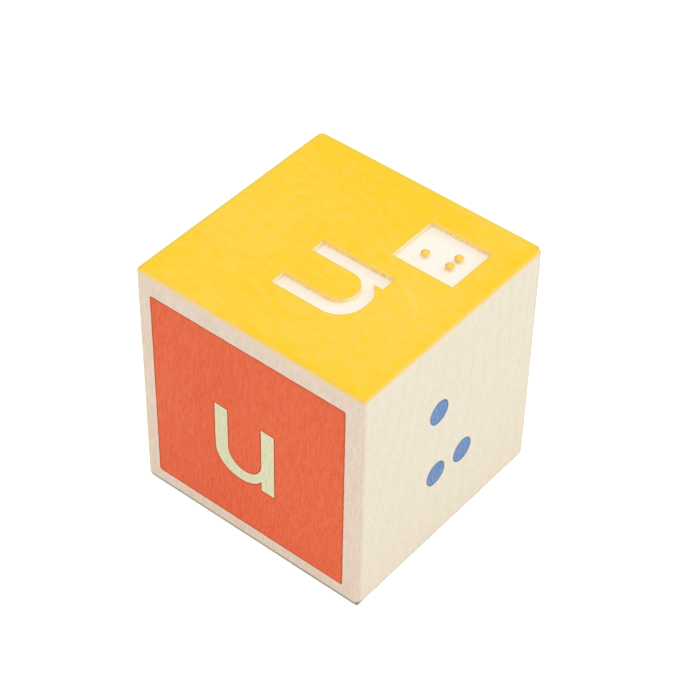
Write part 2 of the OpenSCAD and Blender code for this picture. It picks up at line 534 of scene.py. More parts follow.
wide = widened(rectangle(Vector((0, 0)), Vector((9, 9))), 1.0)
print("a square of 9 mm, widened by 1, measures, mm:", max(p.x for p in wide) - min(p.x for p in wide))

# %% [markdown]
# ### Filling a flat region
# Flat regions with holes, such as the top with its letter, are filled with triangles by a constrained
# Delaunay fill, which keeps the outlines exact and the triangles even. The letter could be cut with a
# boolean instead, but that leaves long thin triangles, on which smooth shading shows streaks.

# %% Filling a flat region
FILL_STEP = 1.5
FILL_CLEAR = 0.35
MARGIN = 0.36
MARGIN_CLEAR = 0.8
TOUCH = 1e-5
WITHIN_THE_BORDER = 1


def clear_of(spot, others, distance):
    """Whether a spot keeps a distance from all the others."""
    return all((spot - other).length_squared > distance ** 2 for other in others)


def filled(border, loops, spacing=FILL_STEP):
    """Fills a flat border with triangles. Gives all points, and the triangles that lie in each region:
    0 outside every loop, or the number of the innermost loop, counted from 1. A row of points on
    either side of each loop keeps a narrow margin of triangles along it."""
    points = list(border)
    outlines = [list(range(len(border)))]
    for loop in loops:
        outlines.append(list(range(len(points), len(points) + len(loop))))
        points += loop
    fixed = list(points)
    for loop in loops:
        for side in (-MARGIN, MARGIN):
            points += [spot for spot in widened(loop, side) if clear_of(spot, fixed, MARGIN_CLEAR * MARGIN)]
    low = Vector((min(p.x for p in border), min(p.y for p in border)))
    high = Vector((max(p.x for p in border), max(p.y for p in border)))
    columns = max(1, round((high.x - low.x) / spacing))
    rows = max(1, round((high.y - low.y) / spacing))
    for column in range(1, columns):
        for row in range(1, rows):
            shift = 0.5 * (row % 2) - 0.25
            x = low.x + (high.x - low.x) * (column + shift) / columns
            y = low.y + (high.y - low.y) * row / rows
            spot = Vector((x, y))
            if clear_of(spot, fixed, FILL_CLEAR * spacing):
                points.append(spot)
    result = delaunay_2d_cdt(points, [], outlines, WITHIN_THE_BORDER, TOUCH)
    _, _, faces, origins, _, containers = result
    names = [origin[0] for origin in origins]
    regions = [[] for _ in range(len(loops) + 1)]
    for face, inside in zip(faces, containers):
        if inside:
            regions[max(inside)].append([names[n] for n in face])
    return points, regions


_, test_regions = filled(rectangle(Vector((0, 0)), Vector((9, 9))), [])
print("a square of 9 mm is filled with triangles:", len(test_regions[0]))

# %% [markdown]
# ## The faces that carry something
# Four of the six faces hold an outline: the carved top, the printed front, the dots on the right and the
# printed square on the back. For each face the table gives the axis that it faces along, its lattice
# number there, and how a point of it goes to the flat and back to the block at a given depth.

# %% The six faces
FACES = {
    "front": (1, 0, lambda p: Vector((p.x, p.z)), lambda f, d: Vector((f.x, -HALF.y + d, f.y))),
    "right": (0, LAST, lambda p: Vector((p.y, p.z)), lambda f, d: Vector((HALF.x - d, f.x, f.y))),
    "back": (1, LAST, lambda p: Vector((-p.x, p.z)), lambda f, d: Vector((-f.x, HALF.y - d, f.y))),
    "top": (2, LAST, lambda p: Vector((p.x, p.y)), lambda f, d: Vector((f.x, f.y, HALF.z - d))),
    "left": (0, 0, None, None),
    "base": (2, 0, None, None),
}
to_top = FACES["top"][3]
print("the top lies above the block's middle by, mm:", round(to_top(Vector((0, 0)), 0).z, 2))

# %% [markdown]
# ### The prints
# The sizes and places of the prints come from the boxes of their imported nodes, and only what a box
# can't say is named here: how round a square's corners are, how thick the letter is, and how far the
# ink's edge wanders. A pad or a screen leaves it ragged by a few hundredths of a millimetre.

# %% Printed outlines
DOTS = (1, 3, 6)
INK_RAGGED = 0.06
INK_LENGTH = 0.7
SQUARE_ROUND = 0.45
PRINTED_DIP = 0.3
PRINTED_STEM = 2.55
PRINTED_BOWL = 2.25
PRINTED_OUTER = 4.7


def node_box(node):
    """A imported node's two corners in mm from the block's centre."""
    low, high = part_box(node)
    middle = Vector((0, 0, HALF.z))
    return low / MM - middle, high / MM - middle


low, high = node_box("front_panel_ink")
front_square = rectangle(Vector((low.x, low.z)), Vector((high.x, high.z)), SQUARE_ROUND)
low, high = node_box("back_panel_ink")
back_square = rectangle(Vector((-high.x, low.z)), Vector((-low.x, high.z)), SQUARE_ROUND)
low, high = node_box("front_letter_ink")
foot = low.z + PRINTED_DIP
printed_letter = letter_u(
    high.x - low.x, high.z - foot, PRINTED_STEM, PRINTED_BOWL, PRINTED_OUTER, PRINTED_DIP)
printed_letter = moved(printed_letter, Vector(((low.x + high.x) / 2, foot)))
front_square, back_square, printed_letter = [
    ragged(loop, INK_RAGGED, INK_LENGTH) for loop in (front_square, back_square, printed_letter)]

dot_loops = {}
for number in DOTS:
    low, high = node_box(f"side_dot_{number}_ink")
    middle = Vector(((low.y + high.y) / 2, (low.z + high.z) / 2))
    dot_loops[number] = ragged(arc(middle, (high.z - low.z) / 2, 0, 360), INK_RAGGED, INK_LENGTH)
print("points in the printed letter:", len(printed_letter), "in a dot:", len(dot_loops[1]))

# %% [markdown]
# ### The carving
# The carving is cut into the wood, so no box in the frame gives its place, and its sizes are named
# here. Its letter lies on its back: its head points to the left and its foot to the right.

# %% Carved outlines
CARVE = 1.0
CUT_WIDTH = 12.4
CUT_HEIGHT = 14.0
CUT_DIP = 0.3
CUT_STEM = 2.95
CUT_BOWL = 2.75
CUT_OUTER = 4.6
CUT_FOOT = Vector((9.45, -4.8))
WINDOW_MIDDLE = Vector((11.3, 10.55))
WINDOW_HALF = Vector((5.85, 5.0))

cut_letter = letter_u(CUT_WIDTH, CUT_HEIGHT, CUT_STEM, CUT_BOWL, CUT_OUTER, CUT_DIP)
cut_letter = moved(cut_letter, CUT_FOOT, turned=True)
window = rectangle(WINDOW_MIDDLE - WINDOW_HALF, WINDOW_MIDDLE + WINDOW_HALF)
print("points in the cut letter:", len(cut_letter), "in the window:", len(window))

# %% [markdown]
# ### Flat middle and bent border
# Only the flat middle of a face needs the fill. Round it the lattice goes on over the edges, so the
# fill starts from the lattice's own border points and joins it without a gap. The back is seen from
# its other side, so its border is walked the other way round.

# %% Cells and border of a face
def on_face(corner, axis, fixed):
    """A place in the lattice from two numbers on a face and the fixed third one."""
    return corner[:axis] + (fixed,) + corner[axis:]


def face_cells(axis, fixed):
    """The lattice squares of a face, and whether each one lies in its flat middle."""
    inner = range(ARC_STEPS, LAST - ARC_STEPS)
    for u in range(LAST):
        for v in range(LAST):
            corners = [(u, v), (u + 1, v), (u + 1, v + 1), (u, v + 1)]
            yield [on_face(corner, axis, fixed) for corner in corners], u in inner and v in inner


def face_border(axis, fixed):
    """The lattice points round the flat middle of a face, in order."""
    a = ARC_STEPS
    b = LAST - ARC_STEPS
    walk = [(n, a) for n in range(a, b)] + [(b, n) for n in range(a, b)]
    walk += [(n, b) for n in range(b, a, -1)] + [(a, n) for n in range(b, a, -1)]
    return [on_face(corner, axis, fixed) for corner in walk]


def fill_face(name, loops):
    """The flat middle of a face, filled round its outlines."""
    axis, fixed, to_flat, _ = FACES[name]
    places = face_border(axis, fixed)
    if name == "back":
        places = places[::-1]
    points, regions = filled([to_flat(surface_point(place)) for place in places], loops)
    return places, points, regions


print("points round the flat middle of a face:", len(face_border(2, LAST)))

# %% [markdown]
# ## The block of wood
# The outer lattice is sunk under the yellow coat and has shallow pockets for the inks. The letter and
# the window are cut in with walls that are a little uneven, as a burnt or routed cut in end grain is,
# and with a small round where the wall meets the floor. Three studs stay standing in the window.

# %% Wood and the pockets for the inks
BARE, CUT_FLOOR, CUT_WALL, STUD_SIDE = 0, 1, 2, 3
wood = Shell()
wood_points = {}


def wood_point(place):
    """The number of the wood's point at a lattice place, made when it is first asked for."""
    if place not in wood_points:
        sunk = surface_point(place, (COAT + SEAM) * coat_share(place))
        wood_points[place] = wood.add_points([sunk])[0]
    return wood_points[place]


for axis, fixed, to_flat, _ in FACES.values():
    for places, in_middle in face_cells(axis, fixed):
        if not in_middle or to_flat is None:
            wood.add_faces([[wood_point(place) for place in places]], BARE)


def sink_pockets(name, pockets, inner_loops=()):
    """Fills a printed face of the wood, with a pocket under each print."""
    to_block = FACES[name][3]
    places, points, regions = fill_face(name, [*pockets, *inner_loops])
    outer = [wood_point(place) for place in places]
    outer += wood.add_points([to_block(p, 0) for p in points[len(places):]])
    wood.add_faces([[outer[n] for n in face] for face in regions[0]], BARE)
    sunk = wood.add_points([to_block(p, INK + SEAM) for p in points])
    for region in regions[1:]:
        wood.add_faces([[sunk[n] for n in face] for face in region], BARE)
    first = len(places)
    for pocket in pockets:
        rim = range(first, first + len(pocket))
        wood.add_band([outer[n] for n in rim], [sunk[n] for n in rim], BARE)
        first += len(pocket)
    return points, regions, places


front_fill = sink_pockets("front", [front_square], [printed_letter])
right_fill = sink_pockets("right", list(dot_loops.values()))
back_fill = sink_pockets("back", [back_square])
print("depth of the pockets, mm:", INK + SEAM, "faces of wood so far:", len(wood.faces))

# %% [markdown]
# ### Cutting the letter and the window
# One function cuts any outline: it walks down from the rim in a few rows, lets the middle rows wander by
# a few hundredths of a millimetre, rounds the foot and fills the floor. The studs are cones that
# rise from the window's floor. Their tops are bare here and get their yellow caps later.

# %% Carving
RIM = 0.05
WALL_ROWS = (0.2, 0.45, 0.7)
WALL_RAGGED = 0.02
WALL_LENGTH = 0.625
FOOT_ROUND = 0.09
FOOT_ROW = 0.3 * FOOT_ROUND
FLOOR_STEP = 0.9

top_places, top_points, top_regions = fill_face("top", [widened(cut_letter, RIM), widened(window, RIM)])
top_outer = [wood_point(place) for place in top_places]
top_outer += wood.add_points([to_top(p, COAT + SEAM) for p in top_points[len(top_places):]])
wood.add_faces([[top_outer[n] for n in face] for face in top_regions[0]], BARE)


def carve(outline, rim, islands=()):
    """Cuts an outline into the top, from the rim's points down to a flat floor round the islands."""
    rows = [(0.0, depth) for depth in (COAT + SEAM, *WALL_ROWS, CARVE - FOOT_ROUND)]
    upper = rim
    for shift, depth in [*rows, (-FOOT_ROW, CARVE - FOOT_ROW)]:
        row_loop = widened(outline, shift)
        if depth in WALL_ROWS:
            row_loop = [p + s * WALL_RAGGED * noise.noise(Vector((p.x, p.y, depth * 2)) / WALL_LENGTH)
                        for p, s in zip(row_loop, loop_normals(outline))]
        lower = wood.add_points([to_top(p, depth) for p in row_loop])
        wood.add_band(upper, lower, CUT_WALL)
        upper = lower
    points, regions = filled(widened(outline, -FOOT_ROUND), list(islands), FLOOR_STEP)
    numbers = wood.add_points([to_top(p, CARVE) for p in points])
    wood.add_band(upper, numbers[:len(outline)], CUT_WALL)
    wood.add_faces([[numbers[n] for n in face] for face in regions[0]], CUT_FLOOR)
    return numbers


first = len(top_places)
second = first + len(cut_letter)
carve(cut_letter, top_outer[first:second])
window_rim = top_outer[second:second + len(window)]
print("depth of the letter and the window, mm:", CARVE)

# %% Studs in the window
STUD_BASE = 0.775
STUD_FACES = 28
STUD_FOOT = 0.25 * FOOT_ROUND
STUD_WAIST = 0.02

cap_boxes = {number: node_box(f"braille_dot_{number}_paint") for number in DOTS}
stud_middles = {number: ((low + high) / 2).to_2d() for number, (low, high) in cap_boxes.items()}
low, high = cap_boxes[1]
stud_top = (high.x - low.x) / 2
cap_height = high.z - low.z


def ring(middle, radius):
    """A circle of points for a stud."""
    turns = [2 * math.pi * n / STUD_FACES for n in range(STUD_FACES)]
    return [middle + radius * Vector((math.cos(a), math.sin(a))) for a in turns]


STUD_ROWS = (
    (STUD_BASE + STUD_FOOT, CARVE - FOOT_ROW),
    (STUD_BASE - STUD_WAIST, CARVE - FOOT_ROUND),
    (0.5 * (STUD_BASE + stud_top), 0.5 * (CARVE + cap_height)),
    (stud_top, cap_height + SEAM),
)
islands = [ring(middle, STUD_BASE + FOOT_ROUND) for middle in stud_middles.values()]
window_numbers = carve(window, window_rim, islands)
first = len(window)
for middle in stud_middles.values():
    lower = window_numbers[first:first + STUD_FACES]
    for radius, depth in STUD_ROWS:
        upper = wood.add_points([to_top(p, depth) for p in ring(middle, radius)])
        wood.add_band(lower, upper, STUD_SIDE)
        lower = upper
    wood.add_faces([lower], STUD_SIDE)
    first += STUD_FACES

wood_block = wood.build("wood_block")

# %% [markdown]
# ## The yellow coat
# The coat covers the top, runs over the eased edges and ends at the paint line. Its upper skin is the
# block's outer surface, and its lower skin lies on the wood. Round the carving it has a tiny rounded rim,
# because the cut was made through it. A number on each point says how thin the paint runs out there, up
# to 1 at its lower edge, or how dull and dark it is, below 0. Along the left and back edges of the block
# that dark is painted shade. At the rims of the carving it is a dull olive: most in front, less at the
# sides. The back rims are thin.

# %% Points of the coat
AT_RIM = -0.55
AT_SIDE_RIM = -0.35
AT_BACK_RIM = 0.25
coat = Shell()
coat_edge = []
skin_points = {}


def coat_point(place, skin):
    """The number of the coat's point at a lattice place, on its outer (0) or inner (1) skin."""
    key = (place, skin if coat_share(place) > 0 else 0)
    if key not in skin_points:
        skin_points[key] = coat.add_points([surface_point(place, COAT * key[1] * coat_share(place))])[0]
        coat_edge.append(paint_thinness(place))
    return skin_points[key]


def rim_values(outline):
    """The coat's number at each point of a cut's rim, which depends on where the rim looks from."""
    values = []
    for step in loop_normals(outline):
        to_side = step.normalized()
        value = AT_RIM + (AT_BACK_RIM - AT_RIM) * max(to_side.y, 0.0)
        values.append(value + (AT_SIDE_RIM - AT_RIM) * abs(to_side.x))
    return values


cuts = [(outline, rim_values(outline)) for outline in (cut_letter, window)]
print("points round the cuts:", [len(values) for _, values in cuts])

# %% [markdown]
# ### Two skins and their rims
# The bent border of the coat comes from the lattice and its flat middle from the same fill as the wood
# below. Both are made twice, as the outer and the inner skin, and three short rows round each cut join
# one skin to the other.

# %% Top coat
RIM_ROWS = ((0.3 * RIM, 0.3 * RIM), (0.0, RIM), (0.0, COAT))

for axis, fixed, _, _ in FACES.values():
    for places, in_middle in face_cells(axis, fixed):
        if in_middle or min(place[2] for place in places) < PAINT_ROW:
            continue
        for skin in (0, 1):
            coat.add_faces([[coat_point(place, skin) for place in places]])

skins = []
for skin in (0, 1):
    numbers = [coat_point(place, skin) for place in top_places]
    numbers += coat.add_points([to_top(p, COAT * skin) for p in top_points[len(top_places):]])
    coat_edge += [value for _, values in cuts for value in values]
    coat_edge += [0.0] * (len(coat.points) - len(coat_edge))
    coat.add_faces([[numbers[n] for n in face] for face in top_regions[0]])
    skins.append(numbers)

first = len(top_places)
for outline, values in cuts:
    last = first + len(outline)
    upper = skins[0][first:last]
    for shift, depth in RIM_ROWS:
        lower = coat.add_points([to_top(p, depth) for p in widened(outline, shift)])
        coat_edge += values
        coat.add_band(upper, lower)
        upper = lower
    coat.add_band(upper, skins[1][first:last])
    first = last

top_coat = coat.build("top_coat", coat_edge)

# %% [markdown]
# ## Caps on the studs
# The paint was on before the carving, so each stud kept the piece of it that was on its top. It is
# flat in the middle and worn round at the shoulder. Each cap is turned like a lathe part: its height
# falls with the third power of the radius, which gives a flat crown and a quick shoulder. The same
# number as on the coat makes its shoulder a dull olive, deepest to the left, where the olive is painted
# shade, and a pale thin colour to the front right, which is worn thin paint and painted light.

# %% Caps
SHOULDER_POWER = 3
CAP_EDGE = (1.0, 1.0, 1.0, 0.9, 0.6, 0.3, 0.0)
CAP_RINGS = len(CAP_EDGE)
CAP_LIT_SIDE = Vector((0.62, -0.78))
CAP_SHADED_SIDE = Vector((-0.78, -0.62))
CAP_THIN_AND_LIGHT = 0.45
CAP_DULL = 0.7
CAP_SHADE = 0.4


def build_cap(number):
    """The yellow cap of one stud: a flat crown, a round shoulder and a flat underside."""
    middle = stud_middles[number]
    cap = Shell()
    rings = []
    for n in range(CAP_RINGS, 0, -1):
        share = math.sin(0.5 * math.pi * n / CAP_RINGS)
        height = HALF.z - cap_height * share ** SHOULDER_POWER
        loop = [p.to_3d() + Vector((0, 0, height)) for p in ring(middle, stud_top * share)]
        rings.append(cap.add_points(loop))
    for lower, upper in zip(rings, rings[1:]):
        cap.add_band(lower, upper)
    crown = cap.add_points([Vector((middle.x, middle.y, HALF.z))])[0]
    cap.add_faces([(rings[-1][n], rings[-1][(n + 1) % STUD_FACES], crown) for n in range(STUD_FACES)])
    cap.add_faces([rings[0]])
    edge = []
    # Painted shade and painted light: the shoulder's number darkens it to the left and pales it to the front
    # right.
    for share in CAP_EDGE:
        for spot in ring(Vector((0, 0)), 1.0):
            closeness = max(0.0, spot.dot(CAP_LIT_SIDE))
            dull_and_shade = CAP_DULL * (1 - closeness) + CAP_SHADE * max(0.0, spot.dot(CAP_SHADED_SIDE))
            edge.append(share * (CAP_THIN_AND_LIGHT * closeness ** 2 - dull_and_shade))
    edge.append(0.0)
    return cap.build(f"stud_cap_{number}", edge)


stud_caps = {number: build_cap(number) for number in DOTS}

# %% [markdown]
# ## The printed inks
# The orange square, the letter in its gap and the blue dots are screen or pad printed. Each is a thin
# slab in its pocket, cut from the same fill as the wood under it, so that ink and wood meet exactly.

# %% Slabs of ink
def build_ink(name, fill, face, region, outlines):
    """A slab of ink in one region of a filled face. outlines are the numbers of the loops round it."""
    points, regions, _ = fill
    to_block = FACES[face][3]
    used = sorted({n for triangle in regions[region] for n in triangle})
    slab = Shell()
    outer = dict(zip(used, slab.add_points([to_block(points[n], 0) for n in used])))
    inner = dict(zip(used, slab.add_points([to_block(points[n], INK) for n in used])))
    for skin in (outer, inner):
        slab.add_faces([[skin[n] for n in triangle] for triangle in regions[region]])
    for outline in outlines:
        slab.add_band([outer[n] for n in outline], [inner[n] for n in outline])
    edge = [1.0 if any(n in outline for outline in outlines) else 0.0 for n in used] * 2
    return slab.build(name, edge)


first = len(front_fill[2])
second = first + len(front_square)
square_loop = range(first, second)
letter_loop = range(second, second + len(printed_letter))
orange_square = build_ink("orange_square", front_fill, "front", 1, [square_loop, letter_loop])
letter_print = build_ink("letter_print", front_fill, "front", 2, [letter_loop])
first = len(back_fill[2])
back_print = build_ink("back_square", back_fill, "back", 1, [range(first, first + len(back_square))])

blue_dots = {}
first = len(right_fill[2])
for region, (number, loop) in enumerate(dot_loops.items(), start=1):
    dot_loop = range(first, first + len(loop))
    blue_dots[number] = build_ink(f"blue_dot_{number}", right_fill, "right", region, [dot_loop])
    first += len(loop)

# %% [markdown]
# ## The figure of the wood
# Basswood is one of the plainest woods: pale cream, with fibres too fine to count, growth rings that are
# hardly there and short brown flecks. A flat photo of wood on each side would not meet at the edges, so
# the figure is solid: it is worked out from the place inside the block. The same fibres run as fine
# upright streaks down the sides, show as specks on the end grain on top, and show through paint and
# ink. They lean a little to one side. The rings run round a pith that lay about 80 mm in front of the
# block's middle, so the front and the back lie nearly along a ring. A real fibre is about 0.03 mm
# across. They are drawn as bundles of 0.24 mm and pores of 0.15 mm, about as fine as a picture can
# show in which a millimetre takes 5 or 6 pixels.

# %% Solid figure
FIBRE_WIDTH = 0.24
FIBRE_LENGTH = 1.7
PORE_WIDTH = 0.15
PORE_LENGTH = 0.5
FLECK_WIDTH = 0.2
FLECK_LENGTH = 1.3
LEAN = -0.12
DRIFT_LENGTH = 20.0
PITH = (-30.0, -78.0, 0.0)
RING_WIDTH = 2.6
RING_WANDER = 9.0


def grown(tree, place, across, along, detail=1.0):
    """A noise in the wood, with cells of a given size in mm across and along the grain."""
    sized = add(tree, "VectorMath", {0: place, 1: (1 / across, 1 / across, 1 / along)}, operation="MULTIPLY")
    return add(tree, "TexNoise", {"Vector": sized, "Scale": 1.0, "Detail": detail})


def wood_figure(tree):
    """Where a point lies, in mm from the middle of the base, and what grows there, from 0 to 1."""
    place = add(tree, "TexCoord").outputs["Object"]
    place = add(tree, "VectorMath", {0: place, "Scale": 1 / MM}, operation="SCALE")
    x, y, z = add(tree, "SeparateXYZ", {0: place}).outputs
    leaned = add(tree, "Math", {0: z, 1: LEAN, 2: x}, operation="MULTIPLY_ADD")
    along = add(tree, "CombineXYZ", {0: leaned, 1: y, 2: z})
    ring_place = add(tree, "VectorMath", {0: along, 1: (1, 1, 0)}, operation="MULTIPLY")
    distance = add(tree, "VectorMath", {0: ring_place, 1: PITH}, operation="DISTANCE")
    drift = grown(tree, place, DRIFT_LENGTH, 1.5 * DRIFT_LENGTH)
    wander = add(tree, "Math", {0: drift, 1: RING_WANDER, 2: distance}, operation="MULTIPLY_ADD")
    turn = add(tree, "Math", {0: wander, 1: 2 * math.pi / RING_WIDTH}, operation="MULTIPLY")
    wave = add(tree, "Math", {0: turn}, operation="SINE")
    fleck_noise = grown(tree, along, FLECK_WIDTH, FLECK_LENGTH)
    return {
        "place": place,
        "x": x,
        "y": y,
        "z": z,
        "fibres": grown(tree, along, FIBRE_WIDTH, FIBRE_LENGTH, detail=2.0),
        "pores": grown(tree, along, PORE_WIDTH, PORE_LENGTH),
        "flecks": add(tree, "MapRange", {0: fleck_noise, 1: 0.68, 2: 0.8}),
        "rings": add(tree, "MapRange", {0: wave, 1: -0.2}),
        "drift": add(tree, "MapRange", {0: drift, 1: 0.3, 2: 0.7}),
    }


print("fibre bundle and growth ring, mm:", FIBRE_WIDTH, RING_WIDTH)

# %% [markdown]
# ### Mixing by tone
# Each finish has a light and a deep colour, and a tone between 0 and 1 chooses between them. The tone
# is a middle, mostly 0.5, plus weighted shares of the figure's noises, so that every finish carries the
# same grain, each as strongly as the real one shows it. The numbers that a Map Range node takes are its
# value, the two ends of the range that it comes from and the two ends of the range that it goes to,
# which are 0 and 1 where they aren't given. A Mix node takes the share at 0 and its two colours at 6
# and 7. Where one colour after another goes over the last, a loop adds the Mix nodes.

# %% Tone and surface
def tone(tree, weights, middle=0.5):
    """A tone around a middle from pairs of a noise, which lies around 0.5, and its weight."""
    total = middle
    for value, weight in weights:
        centred = add(tree, "Math", {0: value, 1: 0.5}, operation="SUBTRACT")
        total = add(tree, "Math", {0: centred, 1: weight, 2: total}, operation="MULTIPLY_ADD")
    return total


def surface(material, colour, roughness, height, bump_share, bump_mm, specular):
    """Ends a material: its colour, a roughness and a fine relief go to its output."""
    tree = material.node_tree
    relief = add(tree, "Bump", {"Height": height, "Strength": bump_share, "Distance": bump_mm * MM})
    shader = add(tree, "BsdfPrincipled", {
        "Base Color": colour, "Roughness": roughness, "Normal": relief, "Specular IOR Level": specular})
    add(tree, "OutputMaterial", {"Surface": shader})
    print(material.name, "nodes:", len(tree.nodes))


# %% [markdown]
# ### Bare basswood
# Sanded and left bare, it scatters light softly, with hardly any shine. The sides that are cut across the
# rings are a greenish cream that drifts to a faint pink near the foot. The front and back lie along one
# ring each, so they are pinker and their fibres show more. Just under the paint the pores drew in a
# little of it: the wood is peach-coloured there, with a paler halo below. Low down, the edge that the block
# stands on is mixed with grey: a thin line along the front, which is painted shade on the underside of
# the eased foot, and patches elsewhere.

# %% Bare wood
PINK_FOOT = (2.0, 16.0)
FACE_SKIN = (1.3, 0.5)
bare_basswood, tree = new_material("bare_basswood")
figure = wood_figure(tree)
grain = tone(tree, [(figure["fibres"], 1.5), (figure["pores"], 1.0)])
foot = add(tree, "MapRange", {0: figure["z"], 1: PINK_FOOT[0], 2: PINK_FOOT[1], 3: 0.85, 4: 0.15})
drift = tone(tree, [(figure["drift"], 0.5), (foot, 1.0)])
cream = add(tree, "Mix", {0: grain, 6: linear("#EFE7D0"), 7: linear("#FFF7E1")}, data_type="RGBA")
pink = add(tree, "Mix", {0: grain, 6: linear("#F0E4CC"), 7: linear("#FFF2DE")}, data_type="RGBA")
off_middle = add(tree, "Math", {0: figure["y"]}, operation="ABSOLUTE")
along_ring = add(tree, "MapRange", {0: off_middle, 1: HALF.y - FACE_SKIN[0], 2: HALF.y - FACE_SKIN[1]})
strong_grain = tone(tree, [(figure["fibres"], 1.8), (figure["pores"], 1.4)])
one_ring = add(tree, "Mix", {0: strong_grain, 6: linear("#F0DAC3"), 7: linear("#FDEDD9")}, data_type="RGBA")
ring_share = add(tree, "MapRange", {0: figure["rings"], 4: 0.06})
fleck_share = add(tree, "MapRange", {0: figure["flecks"], 4: 0.25})
colour = cream
for share, shade in ((drift, pink), (along_ring, one_ring),
                     (ring_share, linear("#E0CBA8")), (fleck_share, linear("#CBA67C"))):
    colour = add(tree, "Mix", {0: share, 6: colour, 7: shade}, data_type="RGBA")
print(bare_basswood.name, "nodes so far:", len(tree.nodes))

# %% [markdown]
# The paint's bleed and its halo are two layers. Each is given by how far below the top it starts and is
# full, in mm, by its most, and by its colour at the sides and in front.

# %% Bleed under the paint, and grey and painted shade at the foot
BLEED_LAYERS = (
    (2.4, 1.1, 0.6, "#FFF0D9", "#FFE6D0"),
    (1.5, 0.85, 1.0, "#FFEBBA", "#FFDAA2"),
)
BLEED_FRONT_RISE = 0.5
GREY = (1.1, 0.75)
FRONT_SHADE_LINE = (1.6, 0.9)
GREY_PATCH = 2.5
wander = add(tree, "MapRange", {0: figure["pores"], 1: 0.3, 2: 0.7, 3: -0.2, 4: 0.2})
height = add(tree, "Math", {0: figure["z"], 1: wander}, operation="ADD")
height = add(tree, "Math", {0: along_ring, 1: -BLEED_FRONT_RISE, 2: height}, operation="MULTIPLY_ADD")
for start, full, most, on_side, in_front in BLEED_LAYERS:
    share = add(tree, "MapRange", {0: height, 1: block_size.z - start, 2: block_size.z - full, 4: most})
    shade = add(tree, "Mix", {0: along_ring, 6: linear(on_side), 7: linear(in_front)}, data_type="RGBA")
    colour = add(tree, "Mix", {0: share, 6: colour, 7: shade}, data_type="RGBA")
# Painted shade: the grey line along the front foot stands for the shade under the eased edge. The patches
# elsewhere are plain grey.
low_down = add(tree, "MapRange", {0: figure["z"], 1: GREY[0], 2: GREY[1]})
front_shade_line = add(tree, "MapRange", {0: figure["y"], 1: FRONT_SHADE_LINE[0] - HALF.y, 2: FRONT_SHADE_LINE[1] - HALF.y})
patch_noise = grown(tree, figure["place"], GREY_PATCH, GREY_PATCH, detail=2.0)
patches = add(tree, "MapRange", {0: patch_noise, 1: 0.55, 2: 0.65, 3: 0.05, 4: 0.4})
steady = add(tree, "Math", {0: patches, 1: front_shade_line}, operation="MAXIMUM")
grey = add(tree, "Math", {0: low_down, 1: steady}, operation="MULTIPLY")
colour = add(tree, "Mix", {0: grey, 6: colour, 7: linear("#A0A596")}, data_type="RGBA")
surface(bare_basswood, colour, roughness=0.65, height=figure["fibres"], bump_share=0.35, bump_mm=0.02,
        specular=0.25)

# %% [markdown]
# ### The fresh cut
# The floor of the carving is end grain that has never been touched, so it is paler than the sides. The
# walls are stained yellow at the rim, where the cutter dragged paint down, and turn to cream below.
# Near their foot the cutter's heat left a thin brown scorch, which comes and goes along the wall. It is
# faint at the front of the letter and strong from its back to the window. It lies only on the walls that
# face front or back, which are the shaded ones, so there it is scorch and painted shade. The walls that
# face left and right get no scorch but a paler cream, which is painted light, and only a pale brown line
# at their foot.

# %% Carved floor
carved_floor, tree = new_material("fresh_end_grain")
figure = wood_figure(tree)
grain = tone(tree, [(figure["fibres"], 1.5), (figure["pores"], 1.0)])
colour = add(tree, "Mix", {0: grain, 6: linear("#FCF3E5"), 7: linear("#FFFDF5")}, data_type="RGBA")
surface(carved_floor, colour, roughness=0.75, height=figure["fibres"], bump_share=0.3, bump_mm=0.02,
        specular=0.15)

# %% Sizes and colours of the cut walls
STAIN_CELL = (0.45, 1.2)
SCORCH_CELL = (0.3, 0.6)
SCORCH_STRETCH = 1.6
SCORCH_DEPTH = 0.66
SCORCH_HALF = 0.3
SCORCH_WANDER = 0.4
HEAT_ALONG = (-10.0, 6.0)
PAINTED_LIGHT_DEPTH = (0.05, 0.45)
FOOT_LINE = 0.27
WALL_STEPS = ((0.0, "#FFE070"), (0.2, "#FFDF86"), (0.45, "#FFDE96"), (0.7, "#FFDFAC"), (0.92, "#FFEED4"))
STUD_STEPS = ((0.3, "#F8C866"), (0.45, "#F6CB84"), (0.65, "#FAD3A0"), (0.9, "#FDF0DA"))
print("the scorch lies below the top by, mm:", SCORCH_DEPTH * CARVE)
